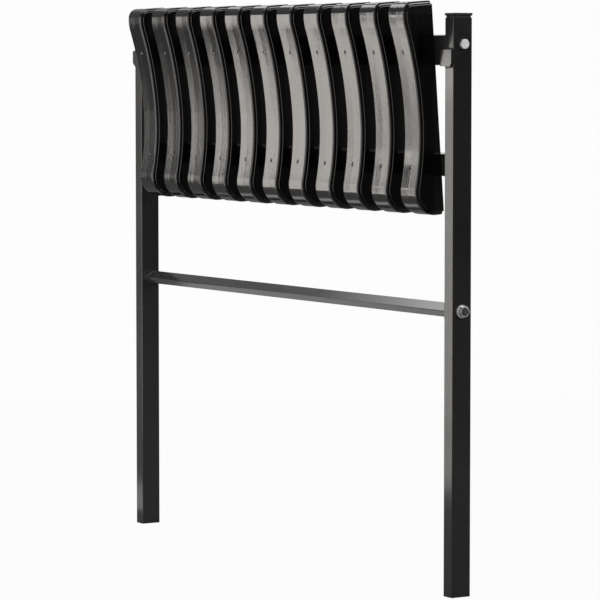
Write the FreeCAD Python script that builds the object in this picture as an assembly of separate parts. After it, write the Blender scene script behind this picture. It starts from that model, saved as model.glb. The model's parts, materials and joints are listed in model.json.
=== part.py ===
"""Folding bench: a slatted seat that hangs between two posts and swings up to level.

Frame: X along the bench, Y towards the back, Z up, origin on the ground midway between the posts.
Seat pieces are drawn about the pivot axis with the seat hanging plumb, then turned to the rest tilt.
"""
import FreeCAD, Part
import math
import os

V = FreeCAD.Vector
X_AXIS = V(1, 0, 0)
Y_AXIS = V(0, 1, 0)
Z_AXIS = V(0, 0, 1)
ORIGIN = V(0, 0, 0)

# Posts
overall_width = 864.5
post_height = 775.6
post_width = 20.0
post_depth = 30.0
post_wall = 1.5
tube_corner = 1.0

# Post caps
cap_overhang = 0.6
cap_flange = 3.5
cap_neck = 3.0
cap_neck_inset = 0.9
cap_plug_depth = 14.0
cap_chamfer = 0.9

# Crossbar
crossbar_height = 385.0
crossbar_wide = 20.0
crossbar_thick = 10.0
crossbar_wall = 1.5
crossbar_turn = 30.0
end_plate_depth = 26.0
end_plate_height = 22.0
end_plate_thickness = 3.0
end_plate_corner = 2.0

# Screwed hardware
m8_diameter = 8.0
m8_across_flats = 13.0
m8_head_height = 5.3
m8_nut_height = 6.8
hex_chamfer = 0.9
flange_nut_diameter = 17.9
flange_nut_flange = 1.8
flange_nut_height = 8.0
stud_end = 3.5
screw_diameter = 3.2
screw_head_diameter = 5.6
screw_head_height = 1.8
screw_head_round = 1.0
screw_recess_length = 3.0
screw_recess_width = 0.8
screw_recess_depth = 1.0
screw_grip = 6.0
block_screw_length = 12.0

# Clearances
hole_clearance = 0.2
thread_clearance = 0.05
running_clearance = 0.08
plug_clearance = 0.1
hinge_gap = 0.45
bore_end_gap = 1.0

# Seat placement
pivot_below_top = 34.5
seat_tilt = 4.22
seat_top = -59.2
seat_bottom = 228.7
rail_front = 9.5
rail_depth = 20.0
rail_wall = 1.5
upper_rail_height = 40.0
upper_rail_centre = 7.8
lower_rail_height = 30.0
lower_rail_centre = 162.0
rail_plug_flange = 2.0
rail_plug_depth = 16.0

# Hinge blocks in the upper rail
block_flange = 3.0
block_length = 36.0
pivot_bearing = 28.0
block_screw_place = 8.5
block_screw_setback = 10.0

# Locks
lock_diameter = 8.0
lock_length = 36.5
lock_drop = 3.3
lock_recess = 0.5
lock_end_gap = 0.75
lock_end_chamfer = 0.8
stem_diameter = 4.0
stem_setback = 32.5
stem_grip = 5.0
stem_clearance = 0.3
knob_gap = 1.0
knob_diameter = 13.0
knob_length = 12.0
knob_round = 2.0

# Catch plates
catch_thickness = 4.0
catch_height = 22.2
catch_reach = 5.95
catch_corner = 3.0
catch_chamfer = 4.0
catch_gap = 0.3

# Slats
slat_count = 11
slat_width = 39.0
slat_end_margin = 24.5
slat_wall = 3.0
slat_edge_round = 3.2
slat_back_round = 3.0
slat_boss = 11.0
valley_place = 95.6
valley_thickness = 29.3
crest_place = -40.0
crest_thickness = 45.3
nose_radius = 60.0
top_corner_radius = 14.0
lower_sweep_radius = 360.0
front_corner_radius = 32.0
slat_dish = 0.15
ledge_inset = 4.4
ledge_width = 1.5
ledge_round = 1.2
screw_seat_depth = 1.1

# Places that follow from the sizes above
post_outer = overall_width / 2
post_inner = post_outer - post_width
post_centre = post_outer - post_width / 2
pivot_height = post_height - pivot_below_top
block_outer = post_inner - m8_nut_height - hinge_gap
rail_end = block_outer - block_flange
slat_pitch = 2 * (rail_end - slat_end_margin - slat_width / 2) / (slat_count - 1)
block_inner = rail_end - block_length
pivot_bolt_end = block_outer - pivot_bearing
rail_middle = rail_front - rail_depth / 2
rail_back = rail_front - rail_depth
lock_ahead = post_depth / 2 + catch_thickness / 2
lock_outer = block_outer - lock_recess
lock_travel = post_inner - lock_end_gap - lock_outer
stem_place = lock_outer - stem_setback
catch_top = pivot_height - lock_drop - lock_diameter / 2 - catch_gap
m8_hole = m8_diameter / 2 + hole_clearance
m8_thread = m8_diameter / 2 + thread_clearance
screw_hole = screw_diameter / 2 + thread_clearance
rail_rows = (upper_rail_centre, lower_rail_centre)


def seat_point(x, down, out):
    """A point by its place along the bench, down the seat from the pivot, and out to the sitting side."""
    return V(x, -out, -down)


def on_seat(shape):
    """Turn a piece drawn with the seat plumb to the rest tilt and lift it to the pivot."""
    placed = shape.copy()
    placed.rotate(ORIGIN, X_AXIS, seat_tilt)
    placed.translate(V(0, 0, pivot_height))
    return placed


def mirrored(shape):
    """The left-hand copy of a right-hand piece."""
    return shape.mirror(ORIGIN, X_AXIS)


def pair(shape):
    """A right-hand piece and its left-hand copy as separate solids in one node."""
    return Part.makeCompound([shape, mirrored(shape)])


def edges_along(shape, axis):
    """The straight edges of a shape that run along an axis."""
    found = []
    for edge in shape.Edges:
        if isinstance(edge.Curve, Part.Line) and abs(edge.Curve.Direction.dot(axis)) > 0.999:
            found.append(edge)
    return found


def block(centre, size, axis=None, corner=0):
    """A box about its centre, with the edges along an axis rounded."""
    box = Part.makeBox(size.x, size.y, size.z, centre - size * 0.5)
    if axis is None:
        return box
    return box.makeFillet(corner, edges_along(box, axis))


def tube(centre, size, axis, wall, corner):
    """A rectangular tube: size is its outside, open at both ends of the axis."""
    across = V(1, 1, 1) - axis
    bore_size = size - across * (2 * wall)
    bore_corner = max(corner - wall, wall / 3)
    return block(centre, size, axis, corner).cut(block(centre, bore_size, axis, bore_corner))


def rod(start, radius, length, axis):
    return Part.makeCylinder(radius, length, start, axis)


def hexagon(start, across_flats, length, chamfered_end):
    """A hexagon prism along X, its corners chamfered at one end or at both."""
    corner_radius = across_flats / math.sqrt(3)
    points = []
    for step in range(7):
        turn = math.radians(60 * step)
        points.append(start + V(0, corner_radius * math.cos(turn), corner_radius * math.sin(turn)))
    prism = Part.Face(Part.makePolygon(points)).extrude(V(length, 0, 0))
    envelope = rod(start, corner_radius, length, X_AXIS)
    ends = [start.x + length] if chamfered_end == "outer" else [start.x, start.x + length]
    rims = []
    for edge in envelope.Edges:
        if edge.Closed and min(abs(edge.CenterOfMass.x - place) for place in ends) < hex_chamfer / 10:
            rims.append(edge)
    return prism.common(envelope.makeChamfer(hex_chamfer, rims))


def make_post():
    size = V(post_width, post_depth, post_height)
    post = tube(V(post_centre, 0, post_height / 2), size, Z_AXIS, post_wall, tube_corner)
    for height in (pivot_height, crossbar_height):
        post = post.cut(rod(V(post_inner, 0, height), m8_hole, post_width, X_AXIS))
    return post


def make_post_cap():
    """A flange on a narrower neck that stands on the tube's rim, with a hollow plug inside the tube."""
    flange_base = post_height + cap_neck
    flange_size = V(post_width + 2 * cap_overhang, post_depth + 2 * cap_overhang, cap_flange)
    flange = block(V(post_centre, 0, flange_base + cap_flange / 2), flange_size, Z_AXIS, tube_corner)
    rims = [edge for edge in flange.Edges if edge.BoundBox.ZLength < cap_chamfer / 10]
    flange = flange.makeChamfer(cap_chamfer, rims)
    neck_size = V(post_width - 2 * cap_neck_inset, post_depth - 2 * cap_neck_inset, cap_neck)
    neck = block(V(post_centre, 0, post_height + cap_neck / 2), neck_size, Z_AXIS, tube_corner)
    bore = post_wall + plug_clearance
    plug_size = V(post_width - 2 * bore, post_depth - 2 * bore, cap_plug_depth)
    plug_centre = V(post_centre, 0, post_height - cap_plug_depth / 2)
    plug = tube(plug_centre, plug_size, Z_AXIS, post_wall, tube_corner / 2)
    return flange.fuse([neck, plug]).removeSplitter()


def make_crossbar():
    length = 2 * (post_inner - end_plate_thickness)
    size = V(length, crossbar_wide, crossbar_thick)
    bar = tube(ORIGIN, size, X_AXIS, crossbar_wall, tube_corner)
    bar.rotate(ORIGIN, X_AXIS, crossbar_turn)
    bar.translate(V(0, 0, crossbar_height))
    return bar


def make_end_plate():
    centre = V(post_inner - end_plate_thickness / 2, 0, crossbar_height)
    size = V(end_plate_thickness, end_plate_depth, end_plate_height)
    return block(centre, size, X_AXIS, end_plate_corner)


def make_stud():
    length = post_width + flange_nut_height + stud_end
    stud = rod(V(post_inner, 0, crossbar_height), m8_diameter / 2, length, X_AXIS)
    rims = [edge for edge in stud.Edges if edge.Closed and edge.CenterOfMass.x > post_outer]
    return stud.makeChamfer(hex_chamfer, rims)


def make_flange_nut():
    """A hexagon on a round flange that bears on the post, with the lock ring's step at its end."""
    start = V(post_outer, 0, crossbar_height)
    flange = rod(start, flange_nut_diameter / 2, flange_nut_flange, X_AXIS)
    rims = [edge for edge in flange.Edges if edge.Closed and edge.CenterOfMass.x > post_outer]
    flange = flange.makeChamfer(flange_nut_flange / 2, rims)
    nut = hexagon(start, m8_across_flats, flange_nut_height, "outer").fuse(flange)
    return nut.cut(rod(start, m8_thread, flange_nut_height, X_AXIS)).removeSplitter()


def make_catch_plate():
    inner = post_inner - catch_reach
    size = V(post_outer - inner, catch_thickness, catch_height)
    centre = V((inner + post_outer) / 2, -post_depth / 2 - catch_thickness / 2, catch_top - catch_height / 2)
    plate = block(centre, size)
    upper_inner = []
    lower_outer = []
    for edge in edges_along(plate, Y_AXIS):
        offset = edge.CenterOfMass - centre
        if offset.x < 0 < offset.z:
            upper_inner.append(edge)
    plate = plate.makeFillet(catch_corner, upper_inner)
    for edge in edges_along(plate, Y_AXIS):
        offset = edge.CenterOfMass - centre
        if offset.z < 0 < offset.x:
            lower_outer.append(edge)
    return plate.makeChamfer(catch_chamfer, lower_outer)


def make_pivot_bolt():
    axis_end = V(pivot_bolt_end, 0, pivot_height)
    shank = rod(axis_end, m8_diameter / 2, post_outer - pivot_bolt_end, X_AXIS)
    head = hexagon(V(post_outer, 0, pivot_height), m8_across_flats, m8_head_height, "outer")
    return head.fuse(shank).removeSplitter()


def make_pivot_nut():
    start = V(post_inner - m8_nut_height, 0, pivot_height)
    nut = hexagon(start, m8_across_flats, m8_nut_height, "both")
    return nut.cut(rod(start, m8_thread, m8_nut_height, X_AXIS))


def slat_places():
    middle = (slat_count - 1) / 2
    return [(step - middle) * slat_pitch for step in range(slat_count)]


def make_rail(centre, height, half_length):
    """A rail behind the slats, drilled for one screw per slat."""
    middle = seat_point(0, centre, rail_middle)
    rail = tube(middle, V(2 * half_length, rail_depth, height), X_AXIS, rail_wall, tube_corner)
    holes = []
    for x in slat_places():
        holes.append(rod(seat_point(x, centre, rail_front), screw_hole, rail_depth / 2, Y_AXIS))
    return rail.cut(holes)


def stem_slot(inner_out):
    """The room that a lock's stem sweeps, from a given depth out through the back of the rail."""
    half = stem_diameter / 2 + stem_clearance
    depth = inner_out - rail_back + rail_wall
    first = seat_point(stem_place, lock_ahead, inner_out)
    last = seat_point(stem_place + lock_travel, lock_ahead, inner_out)
    middle = (first + last) * 0.5 + V(0, depth / 2, 0)
    sweep = block(middle, V(lock_travel, depth, 2 * half))
    return sweep.fuse([rod(first, half, depth, Y_AXIS), rod(last, half, depth, Y_AXIS)])


def block_screw_axis():
    return seat_point(rail_end - block_screw_setback, block_screw_place, rail_back)


def make_upper_rail():
    rail = make_rail(upper_rail_centre, upper_rail_height, rail_end)
    slot = stem_slot(rail_back + rail_depth / 2)
    screw = rod(block_screw_axis() - V(0, rail_depth / 2, 0), screw_hole, rail_depth, Y_AXIS)
    return rail.cut([slot, mirrored(slot), screw, mirrored(screw)])


def make_hinge_block():
    """A plug in the rail's end that turns on the pivot bolt and guides the lock bolt."""
    middle = seat_point(0, upper_rail_centre, rail_middle)
    bore = rail_wall + plug_clearance
    plug_size = V(block_length, rail_depth - 2 * bore, upper_rail_height - 2 * bore)
    plug = block(middle + V(rail_end - block_length / 2, 0, 0), plug_size, X_AXIS, tube_corner / 2)
    flange_size = V(block_flange, rail_depth, upper_rail_height)
    flange = block(middle + V(rail_end + block_flange / 2, 0, 0), flange_size, X_AXIS, tube_corner)
    body = plug.fuse(flange).removeSplitter()
    pivot_depth = pivot_bearing + bore_end_gap
    pivot = rod(V(block_outer - pivot_depth, 0, 0), m8_diameter / 2 + running_clearance, pivot_depth, X_AXIS)
    lock_start = seat_point(block_inner, lock_ahead, -lock_drop)
    lock = rod(lock_start, lock_diameter / 2 + running_clearance, block_outer - block_inner, X_AXIS)
    screw_start = block_screw_axis() - V(0, block_screw_length, 0)
    screw = rod(screw_start, screw_hole, block_screw_length, Y_AXIS)
    return body.cut([pivot, lock, stem_slot(-lock_drop), screw])


def make_lower_rail_plug():
    middle = seat_point(0, lower_rail_centre, rail_middle)
    tube_end = rail_end - rail_plug_flange
    bore = rail_wall + plug_clearance
    plug_size = V(rail_plug_depth, rail_depth - 2 * bore, lower_rail_height - 2 * bore)
    plug = tube(middle + V(tube_end - rail_plug_depth / 2, 0, 0), plug_size, X_AXIS, rail_wall, tube_corner / 2)
    flange_size = V(rail_plug_flange, rail_depth, lower_rail_height)
    flange = block(middle + V(tube_end + rail_plug_flange / 2, 0, 0), flange_size, X_AXIS, tube_corner)
    return flange.fuse(plug).removeSplitter()


def make_screw(seat, length, towards_head):
    """A round-headed screw with a cross recess: seat is the point under the head, on the axis."""
    shank = rod(seat, screw_diameter / 2, length, towards_head * -1)
    head = rod(seat, screw_head_diameter / 2, screw_head_height, towards_head)
    top = seat + towards_head * screw_head_height
    rims = [edge for edge in head.Edges if edge.Closed and (edge.CenterOfMass - top).Length < screw_head_round]
    head = head.makeFillet(screw_head_round, rims)
    recess_middle = top - towards_head * (screw_recess_depth / 2)
    along = V(screw_recess_length, screw_recess_depth, screw_recess_width)
    across = V(screw_recess_width, screw_recess_depth, screw_recess_length)
    recess = block(recess_middle, along).fuse(block(recess_middle, across))
    return head.fuse(shank).removeSplitter().cut(recess)


def make_block_screw():
    return make_screw(block_screw_axis(), block_screw_length, Y_AXIS)


def make_lock_bolt():
    start = seat_point(lock_outer - lock_length, lock_ahead, -lock_drop)
    bolt = rod(start, lock_diameter / 2, lock_length, X_AXIS)
    rims = [edge for edge in bolt.Edges if edge.Closed and edge.CenterOfMass.x > lock_outer - lock_end_chamfer]
    bolt = bolt.makeChamfer(lock_end_chamfer, rims)
    stem_tip = seat_point(stem_place, lock_ahead, -lock_drop - lock_diameter / 2 + stem_grip)
    return bolt.cut(rod(stem_tip, stem_diameter / 2 + thread_clearance, stem_grip, Y_AXIS))


def make_lock_knob():
    """A turned knob behind the rail, on a stem that screws into the lock bolt."""
    tip = seat_point(stem_place, lock_ahead, -lock_drop - lock_diameter / 2 + stem_grip)
    base = seat_point(stem_place, lock_ahead, rail_back - knob_gap)
    stem = rod(tip, stem_diameter / 2, base.y - tip.y, Y_AXIS)
    knob = rod(base, knob_diameter / 2, knob_length, Y_AXIS)
    knob = knob.makeFillet(knob_round, [edge for edge in knob.Edges if edge.Closed])
    return knob.fuse(stem).removeSplitter()


def arc(first, centre, radius, towards, last):
    """An arc from first to last whose middle lies from the centre towards a given direction."""
    middle = V(centre.x, centre.y, 0) + towards * (radius / towards.Length)
    return Part.Arc(first, middle, last).toShape()


class SlatProfile:
    """The slat's side outline, x down the seat and y from the rails to the sitting face.

    The face runs from a round top corner over a nose and a dished sweep to a round front corner.
    An inset outline keeps the same arc centres, so walls and grooves stay parallel to the face.
    """

    def __init__(self, inset, back):
        rise = crest_thickness - valley_thickness
        reach = valley_place - crest_place
        centres_apart = (reach ** 2 + rise ** 2) / (2 * rise)
        upper_radius = centres_apart - nose_radius
        upper_centre = V(valley_place, valley_thickness + upper_radius, 0)
        nose_centre = V(crest_place, crest_thickness - nose_radius, 0)
        lower_centre = V(valley_place, valley_thickness + lower_sweep_radius, 0)
        corner_across = seat_top + top_corner_radius
        corner_gap = nose_radius - top_corner_radius
        corner_rise = math.sqrt(corner_gap ** 2 - (corner_across - crest_place) ** 2)
        corner_centre = V(corner_across, nose_centre.y + corner_rise, 0)
        front_across = seat_bottom - front_corner_radius
        front_gap = lower_sweep_radius + front_corner_radius
        front_drop = math.sqrt(front_gap ** 2 - (front_across - valley_place) ** 2)
        front_centre = V(front_across, lower_centre.y - front_drop, 0)
        to_corner = (corner_centre - nose_centre).normalize()
        to_nose = (nose_centre - upper_centre).normalize()
        to_front = (front_centre - lower_centre).normalize()
        up = V(0, 1, 0)
        top_end = V(-1, 0, 0)
        front_end = V(1, 0, 0)
        top_radius = top_corner_radius - inset
        crest_radius = nose_radius - inset
        front_radius = front_corner_radius - inset
        sweep_out = upper_radius + inset
        sweep_in = lower_sweep_radius + inset
        points = [
            V(seat_top + inset, back, 0),
            corner_centre + top_end * top_radius,
            nose_centre + to_corner * crest_radius,
            upper_centre + to_nose * sweep_out,
            V(valley_place, valley_thickness - inset, 0),
            lower_centre + to_front * sweep_in,
            front_centre + front_end * front_radius,
            V(seat_bottom - inset, back, 0),
        ]
        self.edges = [
            Part.makeLine(points[0], points[1]),
            arc(points[1], corner_centre, top_radius, top_end + to_corner, points[2]),
            arc(points[2], nose_centre, crest_radius, to_corner - to_nose, points[3]),
            arc(points[3], upper_centre, sweep_out, to_nose - up, points[4]),
            arc(points[4], lower_centre, sweep_in, to_front - up, points[5]),
            arc(points[5], front_centre, front_radius, front_end - to_front, points[6]),
            Part.makeLine(points[6], points[7]),
            Part.makeLine(points[7], points[0]),
        ]
        self.sweeps = ((upper_centre, upper_radius), (lower_centre, lower_sweep_radius))

    def solid(self, width, dish=0):
        """The outline drawn out to a width along the bench, each half rising by the dish to its edge."""
        face = Part.Face(Part.Wire(self.edges))
        halves = [face.extrude(V(0, dish, side * width / 2)) for side in (-1, 1)]
        drawn = halves[0].fuse(halves[1]).removeSplitter()
        to_seat = FreeCAD.Matrix(0, 0, -1, 0, 0, -1, 0, -rail_front, -1, 0, 0, 0, 0, 0, 0, 1)
        return drawn.transformShape(to_seat, True)

    def thickness(self, place):
        """The slat's thickness at a place down the seat, on the dished part."""
        centre, radius = self.sweeps[0] if place < valley_place else self.sweeps[1]
        return centre.y - math.sqrt(radius ** 2 - (place - centre.x) ** 2)


def screw_seat(place):
    """How far out from the pivot axis the flat under a slat screw's head lies."""
    return rail_front + SlatProfile(0, 0).thickness(place) - screw_seat_depth - screw_recess_depth


def behind_slats():
    """The room behind the slats' back plane, where nothing of a slat may reach."""
    depth = rail_depth
    length = 2 * (seat_bottom - seat_top)
    middle = seat_point(0, valley_place, rail_front - depth / 2)
    return block(middle, V(2 * slat_width, depth, length))


def on_slat_back(edge):
    return edge.BoundBox.YMin > -rail_front - ledge_width / 10


def rounded_sides(solid, radius):
    """Round a slat outline's edges between its sides and its face, all but those on the back plane."""
    edges = []
    for edge in solid.Edges:
        on_side = edge.BoundBox.XLength < ledge_width / 10 and abs(edge.CenterOfMass.x) > slat_wall
        if on_side and not on_slat_back(edge):
            edges.append(edge)
    return solid.makeFillet(radius, edges)


def make_slat():
    """A moulded channel, open at the back, dished across, with a ledge along its sides and a boss per screw."""
    crown = SlatProfile(0, -slat_wall).solid(slat_width, slat_dish).cut(behind_slats())
    crown = rounded_sides(crown, slat_edge_round)
    back_edges = [edge for edge in edges_along(crown, X_AXIS) if on_slat_back(edge)]
    crown = crown.makeFillet(slat_back_round, back_edges)
    skirt = rounded_sides(SlatProfile(ledge_inset, 0).solid(slat_width + 2 * ledge_width), ledge_round)
    cavity = SlatProfile(slat_wall, -slat_wall).solid(slat_width - 2 * slat_wall)
    bosses = []
    holes = []
    for place in rail_rows:
        base = seat_point(0, place, rail_front)
        boss_length = SlatProfile(0, 0).thickness(place) - slat_wall / 2
        bosses.append(rod(base, slat_boss / 2, boss_length, Y_AXIS * -1))
        holes.append(rod(base, screw_diameter / 2 + hole_clearance, crest_thickness, Y_AXIS * -1))
        flat = seat_point(0, place, screw_seat(place))
        holes.append(rod(flat, screw_head_diameter / 2 + hole_clearance, crest_thickness, Y_AXIS * -1))
    shell = crown.fuse(skirt).cut(cavity).fuse(bosses).cut(holes)
    return shell.removeSplitter()


def make_slat_screws(place):
    screws = []
    for x in slat_places():
        seat = seat_point(x, place, screw_seat(place))
        length = screw_seat(place) - rail_front + rail_wall + screw_grip
        screws.append(make_screw(seat, length, Y_AXIS * -1))
    return Part.makeCompound(screws)


def make_nodes():
    nodes = {}

    def add_pair(name, shape):
        nodes[name + "_right"] = shape
        nodes[name + "_left"] = mirrored(shape)

    add_pair("post", make_post())
    add_pair("post_cap", make_post_cap())
    add_pair("catch_plate", make_catch_plate())
    nodes["crossbar"] = make_crossbar()
    nodes["crossbar_end_plates"] = pair(make_end_plate())
    nodes["crossbar_studs"] = pair(make_stud())
    nodes["crossbar_nuts"] = pair(make_flange_nut())
    nodes["pivot_bolts"] = pair(make_pivot_bolt())
    nodes["pivot_nuts"] = pair(make_pivot_nut())
    nodes["upper_rail"] = on_seat(make_upper_rail())
    lower_half = rail_end - rail_plug_flange
    nodes["lower_rail"] = on_seat(make_rail(lower_rail_centre, lower_rail_height, lower_half))
    nodes["lower_rail_plugs"] = on_seat(pair(make_lower_rail_plug()))
    nodes["hinge_block_screws"] = on_seat(pair(make_block_screw()))
    nodes["slat_screws_upper"] = on_seat(make_slat_screws(upper_rail_centre))
    nodes["slat_screws_lower"] = on_seat(make_slat_screws(lower_rail_centre))
    add_pair("hinge_block", on_seat(make_hinge_block()))
    add_pair("lock_bolt", on_seat(make_lock_bolt()))
    add_pair("lock_knob", on_seat(make_lock_knob()))
    slat = make_slat()
    for number, x in enumerate(slat_places(), 1):
        placed = slat.copy()
        placed.translate(V(x, 0, 0))
        nodes["slat_%02d" % number] = on_seat(placed)
    return nodes


os.makedirs("parts", exist_ok=True)
for name, shape in make_nodes().items():
    shape.exportStep("parts/%s.step" % name)
    print(name, "solids", len(shape.Solids), "valid", shape.isValid(), "volume", round(shape.Volume, 1))
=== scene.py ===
"""Looks for the folding bench: materials, small made details, light and the photograph's camera."""
import json
import math
import random

import bmesh
import bpy
from mathutils import Matrix, Quaternion, Vector


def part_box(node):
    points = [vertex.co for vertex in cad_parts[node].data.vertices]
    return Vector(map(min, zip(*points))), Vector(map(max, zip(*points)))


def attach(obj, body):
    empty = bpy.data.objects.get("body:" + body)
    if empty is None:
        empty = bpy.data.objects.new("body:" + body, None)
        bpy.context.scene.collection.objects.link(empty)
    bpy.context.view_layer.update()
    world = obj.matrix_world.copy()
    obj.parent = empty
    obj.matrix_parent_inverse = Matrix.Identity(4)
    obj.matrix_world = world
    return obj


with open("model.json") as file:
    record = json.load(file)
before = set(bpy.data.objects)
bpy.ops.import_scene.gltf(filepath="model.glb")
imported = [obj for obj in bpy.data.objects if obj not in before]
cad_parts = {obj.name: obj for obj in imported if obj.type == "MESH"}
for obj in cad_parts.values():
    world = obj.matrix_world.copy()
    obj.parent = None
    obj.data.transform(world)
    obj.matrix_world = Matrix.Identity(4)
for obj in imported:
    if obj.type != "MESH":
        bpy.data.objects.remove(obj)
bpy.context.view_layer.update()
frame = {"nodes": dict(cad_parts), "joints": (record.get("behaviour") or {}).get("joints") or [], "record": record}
NODES = frame["nodes"]
MM = 0.001
SQUARE = [(-1, -1), (1, -1), (1, 1), (-1, 1)]

# Camera, fitted to the posts' edges
CAMERA_PLACE = Vector((4.05904, -2.52202, 0.71975))
CAMERA_YAW = math.radians(32.0105)
CAMERA_PITCH = math.radians(4.1406)
CAMERA_LENS = 198.938
CAMERA_SENSOR = 36.0

# White paper: its share of own light to the eye, its surface, and the tones and sizes of floor and wall
PAPER_GLOW = 0.96
PAPER_ROUGHNESS = 0.9
PAPER_SPECULAR = 0.1
FLOOR_TONE = 0.22
FLOOR_MIRRORED = 0.1
FLOOR_HALF = 7.0
WALL_TONE = 0.82
WALL_DISTANCE = 2.2
WALL_HALF = 0.8
WALL_HEIGHT = 1.1

# Brightness of the studio, and the dark flag behind the bench's right end with its soft edge
STUDIO_GREY = 0.32
FLAG_GREY = 0.06
FLAG_DIRECTION = Vector((0.85, 0.53, 0.0))
FLAG_EDGE = (0.45, 0.85)

# Directions that light cards face, and their tints
FORWARD = (0, 1, 0)
BACKWARD = (0, -1, 0)
DOWN = (0, 0, -1)
UP = (0, 0, 1)
TO_BOLTS = (-0.77, -0.48, -0.42)
WHITE = (1.0, 1.0, 1.0)
WARM = (1.0, 0.95, 0.90)

# Upright strips of light in one plane before the bench: name, left, right, bottom, top and radiance
FRONT_PLANE = -1.17
FRONT_STRIPS = [
    ("strip_far", -2.42, -2.13, 0.0, 0.89, 0.28),
    ("strip_slats", -2.13, -1.41, 0.0, 0.90, 4.2),
    ("strip_post", -1.29, -1.20, 0.0, 0.70, 4.6),
    ("strip_catch", -1.33, -1.16, 0.66, 0.75, 6.0),
    ("strip_front", -1.20, 0.70, 0.0, 0.74, 2.0),
    ("strip_front_top", -0.85, 0.70, 0.74, 1.04, 2.0),
]

# The other cards: name, middle, facing, size, radiance, turn in the card's own plane and tint
FLOOR_STRIP_TURN = -math.atan2(0.57, 0.82)
CARDS = [
    ("overhead_card", (-0.45, -0.3, 1.5), DOWN, (0.9, 0.8), 3.0, 0.0, WHITE),
    ("rear_card", (-1.27, 0.45, 1.5), DOWN, (0.36, 0.8), 2.1, 0.0, WHITE),
    ("rear_edge", (-1.575, 0.45, 1.5), DOWN, (0.25, 0.8), 0.8, 0.0, WHITE),
    ("rear_fill", (0.0, 2.6, 1.0), BACKWARD, (2.6, 1.6), 1.6, 0.0, WHITE),
    ("floor_strip", (-0.79, -0.86, 0.003), UP, (0.74, 0.2), 2.1, FLOOR_STRIP_TURN, WARM),
    ("floor_near", (-0.55, -0.16, 0.003), UP, (0.90, 0.16), 1.0, 0.0, WHITE),
    ("bolt_card", (1.97, 0.96, 1.42), TO_BOLTS, (0.6, 0.85), 10.0, 0.0, WHITE),
]

# Pivot and tilt of the hanging seat
SWING = next(joint for joint in frame["joints"] if joint["name"] == "seat_swing")
PIVOT = Vector(SWING["pos_m"])
SEAT_TILT = math.radians(SWING["range_deg"][1] - 90)

# Welds: bead radius, how the runs are set on the plates and the bar, and the ripples' number and shape
CATCH_WELD = 1.9 * MM
CATCH_WELD_END = 1.5 * MM
CATCH_WELD_PROUD = 0.6 * MM
CATCH_WELD_OFFSET = 0.5 * MM
CROSSBAR_WELD = 1.4 * MM
CROSSBAR_HALF = (10.0 * MM, 5.0 * MM)
CROSSBAR_TURN = math.radians(30.0)
BEAD_STEP = 0.9
BEAD_LEAST = 3
BEAD_SIDES = 10
BEAD_VALLEY = 0.86
BEAD_TIP = 0.45
BEAD_TIP_RISE = 0.3
BEAD_UNEVEN = (0.93, 1.07)
WELD_SEED = 7

# Thread on the studs' ends: its root and crest from the stud's surface, and its profile along one pitch
THREAD_PITCH = 1.25 * MM
THREAD_LEAD_IN = 0.9 * MM
THREAD_SIDES = 32
THREAD_ROOT = 0.2 * MM
THREAD_CREST = 0.12 * MM
THREAD_START = 0.4
THREAD_FADE = 6
THREAD_PROFILE = ((0.0, "root"), (0.35, "crest"), (0.5, "crest"), (0.85, "root"))

# Nylon lock rings in the nuts, made black so that they also stand for the painted shade in the nuts' bores round
# the studs: how far out and how wide each corner of the section is
INSERT_SECTION = [(out * MM, radius * MM) for out, radius in
                  ((-0.6, 3.9), (0.2, 3.9), (0.6, 4.4), (0.6, 5.0), (0.2, 5.4), (-0.6, 5.4))]

# Ribs in the slats' backs: places down the seat from the pivot, and their section
RIB_PLACES = [value * MM for value in (-40.0, -22.0, 40.0, 62.0, 84.0, 106.0, 128.0, 188.0, 206.0)]
RIB_THICKNESS = 1.6 * MM
RIB_HALF = 16.8 * MM
RIB_BACK = 12.5 * MM
RIB_SCALLOP = 4.0 * MM
RIB_SINK = 0.6 * MM
RIB_GRIP = 1.2 * MM
RIB_STEPS = 8

NOISE_ROUGHNESS = 0.55


class Nodes:
    """Short calls for building a node tree."""

    def __init__(self, tree):
        self.tree = tree
        tree.nodes.clear()

    def add(self, kind, **sockets):
        node = self.tree.nodes.new(kind)
        for name, value in sockets.items():
            self.put(node, name.replace("_", " "), value)
        return node

    def put(self, node, name, value):
        self.fill(node.inputs[name], value)

    def fill(self, socket, value):
        if isinstance(value, bpy.types.NodeSocket):
            self.tree.links.new(value, socket)
        else:
            socket.default_value = value

    def operate(self, kind, operation, first, second):
        node = self.tree.nodes.new(kind)
        node.operation = operation
        self.put(node, 0, first)
        self.put(node, 1, second)
        return node

    def noise(self, vector, scale, detail=3.0):
        node = self.add("ShaderNodeTexNoise", Vector=vector, Scale=scale, Detail=detail)
        self.put(node, "Roughness", NOISE_ROUGHNESS)
        return node.outputs["Fac"]

    def stretch(self, vector, scale):
        return self.add("ShaderNodeMapping", Vector=vector, Scale=scale).outputs["Vector"]

    def map(self, value, low, high, to_low=0.0, to_high=1.0):
        node = self.add("ShaderNodeMapRange", Value=value, From_Min=low, From_Max=high)
        self.put(node, "To Min", to_low)
        self.put(node, "To Max", to_high)
        return node.outputs["Result"]

    def blend(self, factor, first, second):
        node = self.tree.nodes.new("ShaderNodeMix")
        node.data_type = "RGBA"
        self.put(node, "Factor", factor)
        for name, value in (("A", first), ("B", second)):
            socket = next(s for s in node.inputs if s.name == name and s.type == "RGBA")
            self.fill(socket, value)
        return next(s for s in node.outputs if s.type == "RGBA")

    def bump(self, height, strength, distance, normal=None):
        node = self.add("ShaderNodeBump", Strength=strength, Distance=distance, Height=height)
        if normal is not None:
            self.put(node, "Normal", normal)
        return node.outputs["Normal"]


def grey(value, warm=0.0):
    return (value * (1 + warm), value, value * (1 - warm), 1.0)


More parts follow.
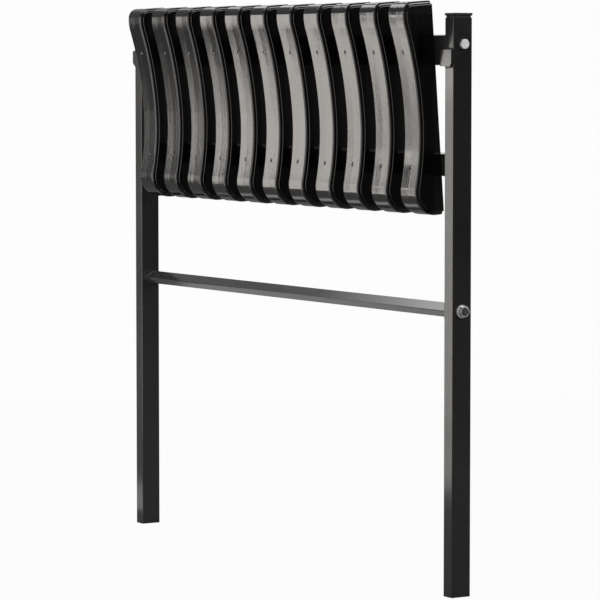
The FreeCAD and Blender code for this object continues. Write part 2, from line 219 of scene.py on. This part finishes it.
def new_material(name):
    """A material with its node calls, its shader and the object's own coordinates."""
    material = bpy.data.materials.new(name)
    material.use_nodes = True
    nodes = Nodes(material.node_tree)
    shader = nodes.add("ShaderNodeBsdfPrincipled")
    nodes.add("ShaderNodeOutputMaterial", Surface=shader.outputs["BSDF"])
    place = nodes.add("ShaderNodeTexCoord").outputs["Object"]
    return material, nodes, shader, place


def coated_steel():
    """Satin black powder coat: fine orange peel and specks, and slight changes of tone and gloss."""
    material, nodes, shader, place = new_material("coated_steel")
    cloud = nodes.noise(place, 9.0)
    speck = nodes.noise(place, 420.0, 2.0)
    tint = nodes.blend(nodes.map(cloud, 0.35, 0.7), grey(0.016), grey(0.022))
    nodes.put(shader, "Base Color", tint)
    nodes.put(shader, "Roughness", nodes.map(cloud, 0.3, 0.7, 0.11, 0.15))
    peel = nodes.bump(nodes.noise(place, 700.0, 2.0), 0.05, 0.0004)
    nodes.put(shader, "Normal", nodes.bump(speck, 0.03, 0.0006, peel))
    shader.inputs["Specular IOR Level"].default_value = 0.5
    return material


def slat_plastic():
    """Glossy black moulding with flow streaks along the slat and faint waves."""
    material, nodes, shader, place = new_material("slat_plastic")
    streak = nodes.noise(nodes.stretch(place, (420.0, 420.0, 5.0)), 1.0, 4.0)
    patch = nodes.noise(nodes.stretch(place, (30.0, 30.0, 5.0)), 1.0, 2.0)
    tint = nodes.blend(nodes.map(streak, 0.3, 0.75), grey(0.0035), grey(0.006))
    nodes.put(shader, "Base Color", tint)
    streak_gloss = nodes.map(streak, 0.3, 0.75, 0.05, 0.12)
    patch_gloss = nodes.map(patch, 0.35, 0.7, 0.0, 0.03)
    gloss = nodes.operate("ShaderNodeMath", "ADD", streak_gloss, patch_gloss)
    nodes.put(shader, "Roughness", gloss.outputs[0])
    wave = nodes.bump(streak, 0.09, 0.0008)
    nodes.put(shader, "Normal", nodes.bump(patch, 0.04, 0.004, wave))
    shader.inputs["Specular IOR Level"].default_value = 0.55
    return material


def zinc_plate(name, dull, bright, smooth, rough):
    """Bright zinc on fasteners: brushed gloss changes and a faint warm and cool passivate."""
    material, nodes, shader, place = new_material(name)
    cloud = nodes.noise(place, 160.0)
    fine = nodes.noise(place, 1500.0, 2.0)
    tint = nodes.blend(nodes.map(cloud, 0.35, 0.65), grey(dull, -0.01), grey(bright, 0.01))
    nodes.put(shader, "Base Color", tint)
    shader.inputs["Metallic"].default_value = 1.0
    nodes.put(shader, "Roughness", nodes.map(fine, 0.3, 0.7, smooth, rough))
    nodes.put(shader, "Normal", nodes.bump(fine, 0.12, 0.0002))
    return material


def dark_steel():
    """Blackened screw steel, rubbed a little brighter in places."""
    material, nodes, shader, place = new_material("dark_steel")
    cloud = nodes.noise(place, 700.0)
    tint = nodes.blend(nodes.map(cloud, 0.4, 0.7), grey(0.09), grey(0.24))
    nodes.put(shader, "Base Color", tint)
    shader.inputs["Metallic"].default_value = 1.0
    nodes.put(shader, "Roughness", nodes.map(cloud, 0.3, 0.7, 0.28, 0.45))
    nodes.put(shader, "Normal", nodes.bump(cloud, 0.15, 0.0002))
    return material


def matt_plastic(name, dark, light, grain):
    """Black moulded plastic with a spark-eroded grain."""
    material, nodes, shader, place = new_material(name)
    cloud = nodes.noise(place, 60.0)
    pit = nodes.noise(place, grain, 2.0)
    tint = nodes.blend(nodes.map(cloud, 0.3, 0.7), grey(dark), grey(light))
    nodes.put(shader, "Base Color", tint)
    nodes.put(shader, "Roughness", nodes.map(pit, 0.3, 0.7, 0.42, 0.62))
    nodes.put(shader, "Normal", nodes.bump(pit, 0.2, 0.0003))
    shader.inputs["Specular IOR Level"].default_value = 0.3
    return material


MATERIALS = {
    "black_coated_steel": coated_steel(),
    "slat_plastic": slat_plastic(),
    "zinc_steel": zinc_plate("zinc_plate", 0.76, 0.88, 0.32, 0.44),
    "dark_screws": dark_steel(),
    "cap_plastic": matt_plastic("cap_plastic", 0.005, 0.009, 1400.0),
    "block_plastic": matt_plastic("block_plastic", 0.014, 0.022, 1100.0),
}

# Forged heads are duller than turned nuts of the same finish
FORGED_ZINC = zinc_plate("forged_zinc", 0.44, 0.62, 0.40, 0.56)


def dress_nodes():
    """Give every CAD node the procedural material of its slot."""
    for row in frame["record"]["subparts"]:
        piece = NODES[row["node"]]
        piece.data.materials.clear()
        finish = FORGED_ZINC if row["node"] == "pivot_bolts" else MATERIALS[row["material_slot"]]
        piece.data.materials.append(finish)


def add_piece(name, mesh_data, body, slot, smooth=True):
    """Make a piece from a bmesh, in its slot's material, riding on a body."""
    bmesh.ops.recalc_face_normals(mesh_data, faces=mesh_data.faces)
    mesh = bpy.data.meshes.new(name)
    mesh_data.to_mesh(mesh)
    mesh_data.free()
    mesh.materials.append(MATERIALS[slot])
    for face in mesh.polygons:
        face.use_smooth = smooth
    piece = bpy.data.objects.new(name, mesh)
    bpy.context.scene.collection.objects.link(piece)
    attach(piece, body)


def join_rings(mesh_data, rings, capped=True):
    """Faces from each ring of corners to the next, and over the first and last rings."""
    for first, second in zip(rings, rings[1:]):
        for part in range(len(first)):
            after = (part + 1) % len(first)
            mesh_data.faces.new((first[part], first[after], second[after], second[part]))
    if capped:
        mesh_data.faces.new(rings[0])
        mesh_data.faces.new(rings[-1])


def add_bead(mesh_data, start, end, radius, draw):
    """One weld run from start to end: overlapping ripples of uneven size, rounded off at both ends."""
    along = end - start
    steps = 2 * max(BEAD_LEAST, round(along.length / (BEAD_STEP * radius)))
    turn = along.to_track_quat("Z", "Y")
    rings = []
    for step in range(steps + 1):
        ripple = 1.0 if step % 2 else BEAD_VALLEY
        taper = min(1.0, BEAD_TIP + BEAD_TIP_RISE * min(step, steps - step))
        size = radius * ripple * taper * draw.uniform(*BEAD_UNEVEN)
        middle = start + along * (step / steps)
        ring = []
        for part in range(BEAD_SIDES):
            angle = 2 * math.pi * part / BEAD_SIDES
            offset = Vector((math.cos(angle), math.sin(angle), 0.0)) * size
            ring.append(mesh_data.verts.new(middle + turn @ offset))
        rings.append(ring)
    join_rings(mesh_data, rings)


def add_catch_welds(side, draw):
    """Weld runs along the catch plate's top and bottom edges, on the post's front face."""
    low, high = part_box("catch_plate_" + side)
    post_low, post_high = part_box("post_" + side)
    front = post_low[1] - CATCH_WELD_PROUD
    welds = bmesh.new()
    for height in (high[2] + CATCH_WELD_OFFSET, low[2] - CATCH_WELD_OFFSET):
        start = Vector((post_low[0] + CATCH_WELD_END, front, height))
        end = Vector((post_high[0] - CATCH_WELD_END, front, height))
        add_bead(welds, start, end, CATCH_WELD, draw)
    add_piece("catch_welds_" + side, welds, "frame", "black_coated_steel")


def add_crossbar_welds(draw):
    """Weld runs round the crossbar's four faces where they meet the end plates."""
    bar_low, bar_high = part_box("crossbar")
    middle = (Vector(bar_low) + Vector(bar_high)) / 2
    turn = Matrix.Rotation(CROSSBAR_TURN, 3, "X")
    welds = bmesh.new()
    for end in (bar_low[0], bar_high[0]):
        points = []
        for y, z in SQUARE:
            corner = turn @ Vector((0, y * CROSSBAR_HALF[0], z * CROSSBAR_HALF[1]))
            points.append(Vector((end, middle.y, middle.z)) + corner)
        for first, second in zip(points, points[1:] + points[:1]):
            add_bead(welds, first, second, CROSSBAR_WELD, draw)
    add_piece("crossbar_welds", welds, "frame", "black_coated_steel")


def add_stud_threads():
    """The thread that shows on each stud's end, outside its nut."""
    low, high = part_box("crossbar_studs")
    nut_low, nut_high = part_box("crossbar_nuts")
    axis_y = (low[1] + high[1]) / 2
    axis_z = (low[2] + high[2]) / 2
    surface = (high[2] - low[2]) / 2
    root = surface - THREAD_ROOT
    radii = {"root": root, "crest": surface + THREAD_CREST}
    threads = bmesh.new()
    for outer, nut_face, side in ((high[0], nut_high[0], 1), (low[0], nut_low[0], -1)):
        length = abs(outer - nut_face) - THREAD_LEAD_IN
        steps = round(length / THREAD_PITCH * THREAD_SIDES)
        rings = []
        for step in range(steps + 1):
            angle = 2 * math.pi * step / THREAD_SIDES
            fade = min(1.0, step / THREAD_FADE, (steps - step) / THREAD_FADE)
            ring = []
            for share, level in THREAD_PROFILE:
                reach = root + (radii[level] - root) * fade
                along = (step / THREAD_SIDES + share - THREAD_START) * THREAD_PITCH
                x = nut_face + side * along
                y = axis_y + reach * math.cos(angle)
                z = axis_z + reach * math.sin(angle)
                ring.append(threads.verts.new((x, y, z)))
            rings.append(ring)
        join_rings(threads, rings)
    add_piece("stud_threads", threads, "frame", "dark_screws")


def add_nut_rings_as_bore_shade():
    """The nylon lock ring round each stud at its nut's outer face, made black as painted shade where the bore
    round the stud lies in shadow.
    """
    low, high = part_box("crossbar_nuts")
    axis = Vector((0, (low[1] + high[1]) / 2, (low[2] + high[2]) / 2))
    inserts = bmesh.new()
    for face, side in ((high[0], 1), (low[0], -1)):
        rings = []
        for proud, radius in INSERT_SECTION:
            ring = []
            for part in range(THREAD_SIDES):
                angle = 2 * math.pi * part / THREAD_SIDES
                round_stud = Vector((0, math.cos(angle), math.sin(angle))) * radius
                ring.append(inserts.verts.new(axis + round_stud + Vector((face + side * proud, 0, 0))))
            rings.append(ring)
        join_rings(inserts, rings + rings[:1], capped=False)
    # Black cap plastic, so that the ring also gives the painted dark shade in the nut's bore round the stud
    add_piece("nut_rings_and_bore_shade", inserts, "frame", "cap_plastic")


def add_slat_ribs():
    """Cross ribs inside each slat's open back, scalloped at their free edge, up to the slat's inner face."""
    seat = Matrix.Translation(PIVOT) @ Matrix.Rotation(SEAT_TILT, 4, "X")
    outward = seat.to_3x3() @ Vector((0, -1, 0))
    half = RIB_THICKNESS / 2
    for node in sorted(name for name in NODES if name.startswith("slat_") and name[-2:].isdigit()):
        low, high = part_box(node)
        centre = (low[0] + high[0]) / 2
        ribs = bmesh.new()
        for down in RIB_PLACES:
            sheets = []
            for face in (-half, half):
                row = []
                for step in range(RIB_STEPS + 1):
                    across = RIB_HALF * (2 * step / RIB_STEPS - 1)
                    scoop = RIB_SCALLOP * (1 - (across / RIB_HALF) ** 2)
                    back = seat @ Vector((centre + across, -RIB_BACK - scoop, -down + face))
                    inside = Vector((0, 0, 0))
                    if step in (0, RIB_STEPS):
                        inside.x = -math.copysign(RIB_GRIP, across)
                    roof = NODES[node].ray_cast(back + inside, outward)[1]
                    row.append((back, roof - inside + outward * RIB_SINK))
                sheets.append([[ribs.verts.new(point) for point in pair] for pair in row])
            first, second = sheets
            for step in range(RIB_STEPS):
                for sheet in sheets:
                    ribs.faces.new((sheet[step][0], sheet[step + 1][0], sheet[step + 1][1], sheet[step][1]))
                for edge in (0, 1):
                    ribs.faces.new((first[step][edge], first[step + 1][edge],
                                    second[step + 1][edge], second[step][edge]))
            for step in (0, RIB_STEPS):
                ribs.faces.new((first[step][0], first[step][1], second[step][1], second[step][0]))
        add_piece(node.replace("slat", "slat_ribs"), ribs, "seat", "slat_plastic", smooth=False)


def add_details():
    """Every piece that the solids don't have."""
    draw = random.Random(WELD_SEED)
    add_catch_welds("left", draw)
    add_catch_welds("right", draw)
    add_crossbar_welds(draw)
    add_stud_threads()
    add_nut_rings_as_bore_shade()
    add_slat_ribs()


def white_paper(name, tone, mirrored_glow):
    """Paper that is white to the eye and pale in mirrors, and still takes a faint shadow."""
    material, nodes, shader = new_material(name)[:3]
    shader.inputs["Base Color"].default_value = grey(tone)
    shader.inputs["Roughness"].default_value = PAPER_ROUGHNESS
    shader.inputs["Specular IOR Level"].default_value = PAPER_SPECULAR
    rays = nodes.add("ShaderNodeLightPath").outputs
    glow_share = nodes.map(rays["Is Camera Ray"], 0.0, 1.0, 0.0, PAPER_GLOW)
    for ray in ("Is Glossy Ray", "Is Transmission Ray"):
        mirrored = nodes.map(rays[ray], 0.0, 1.0, 0.0, mirrored_glow)
        glow_share = nodes.operate("ShaderNodeMath", "MAXIMUM", glow_share, mirrored).outputs[0]
    glow = nodes.add("ShaderNodeEmission", Color=grey(1.0), Strength=1.0)
    mix = nodes.add("ShaderNodeMixShader")
    for place, value in enumerate((glow_share, shader.outputs["BSDF"], glow.outputs["Emission"])):
        nodes.put(mix, place, value)
    output = next(node for node in nodes.tree.nodes if node.type == "OUTPUT_MATERIAL")
    nodes.put(output, "Surface", mix.outputs["Shader"])
    return material


def add_sheet(name, corners, material):
    """A flat sheet of the stage."""
    mesh = bpy.data.meshes.new(name)
    mesh.from_pydata(corners, [], [(0, 1, 2, 3)])
    mesh.materials.append(material)
    sheet = bpy.data.objects.new(name, mesh)
    bpy.context.scene.collection.objects.link(sheet)


def add_stage():
    """A white floor all round, and a white wall that fills the photograph's view behind the bench."""
    view = Vector((-math.cos(CAMERA_YAW), math.sin(CAMERA_YAW), 0))
    across = Vector((math.sin(CAMERA_YAW), math.cos(CAMERA_YAW), 0))
    rise = Vector((0, 0, WALL_HEIGHT))
    left = view * WALL_DISTANCE - across * WALL_HALF
    right = view * WALL_DISTANCE + across * WALL_HALF
    wall = [left, right, right + rise, left + rise]
    add_sheet("paper_wall", wall, white_paper("wall_paper", WALL_TONE, PAPER_GLOW))
    floor = [Vector((FLOOR_HALF * x, FLOOR_HALF * y, 0)) for x, y in SQUARE]
    add_sheet("paper_floor", floor, white_paper("floor_paper", FLOOR_TONE, FLOOR_MIRRORED))


def add_card(name, middle, facing, size, radiance, turn, tint):
    """A soft light card, given by the radiance that a mirror would show, and its turn in its own plane."""
    data = bpy.data.lights.new(name, "AREA")
    data.shape = "RECTANGLE"
    data.size, data.size_y = size
    data.energy = radiance * math.pi * data.size * data.size_y
    data.color = tint
    card = bpy.data.objects.new(name, data)
    bpy.context.scene.collection.objects.link(card)
    card.location = middle
    towards = Vector(facing).to_track_quat("-Z", "Y")
    card.rotation_euler = (towards @ Quaternion((0, 0, 1), turn)).to_euler()
    card.visible_camera = False


def add_world():
    """A grey studio, dark behind the bench's right end, and white to the eye."""
    world = bpy.data.worlds.new("studio")
    bpy.context.scene.world = world
    world.use_nodes = True
    nodes = Nodes(world.node_tree)
    direction = nodes.add("ShaderNodeTexCoord").outputs["Generated"]
    towards_flag = nodes.operate("ShaderNodeVectorMath", "DOT_PRODUCT", direction, FLAG_DIRECTION)
    shaded = nodes.map(towards_flag.outputs["Value"], *FLAG_EDGE)
    studio = nodes.blend(shaded, grey(STUDIO_GREY), grey(FLAG_GREY))
    seen = nodes.add("ShaderNodeLightPath").outputs["Is Camera Ray"]
    shade = nodes.blend(seen, studio, grey(PAPER_GLOW))
    back = nodes.add("ShaderNodeBackground", Color=shade, Strength=1.0)
    nodes.add("ShaderNodeOutputWorld", Surface=back.outputs["Background"])


def add_light():
    """The studio, and light cards before, over and behind the bench and on the floor."""
    add_world()
    for name, left, right, bottom, top, radiance in FRONT_STRIPS:
        middle = ((left + right) / 2, FRONT_PLANE, (bottom + top) / 2)
        add_card(name, middle, FORWARD, (right - left, top - bottom), radiance, 0.0, WARM)
    for card in CARDS:
        add_card(*card)


def add_camera():
    """The photograph's camera."""
    data = bpy.data.cameras.new("photo_camera")
    data.lens = CAMERA_LENS
    data.sensor_width = CAMERA_SENSOR
    camera = bpy.data.objects.new("photo_camera", data)
    bpy.context.scene.collection.objects.link(camera)
    camera.location = CAMERA_PLACE
    flat = math.cos(CAMERA_PITCH)
    look = Vector((-math.cos(CAMERA_YAW) * flat, math.sin(CAMERA_YAW) * flat, -math.sin(CAMERA_PITCH)))
    camera.rotation_euler = look.to_track_quat("-Z", "Y").to_euler()
    bpy.context.scene.camera = camera


dress_nodes()
add_details()
add_stage()
add_light()
add_camera()
bpy.context.scene.view_settings.view_transform = "Standard"
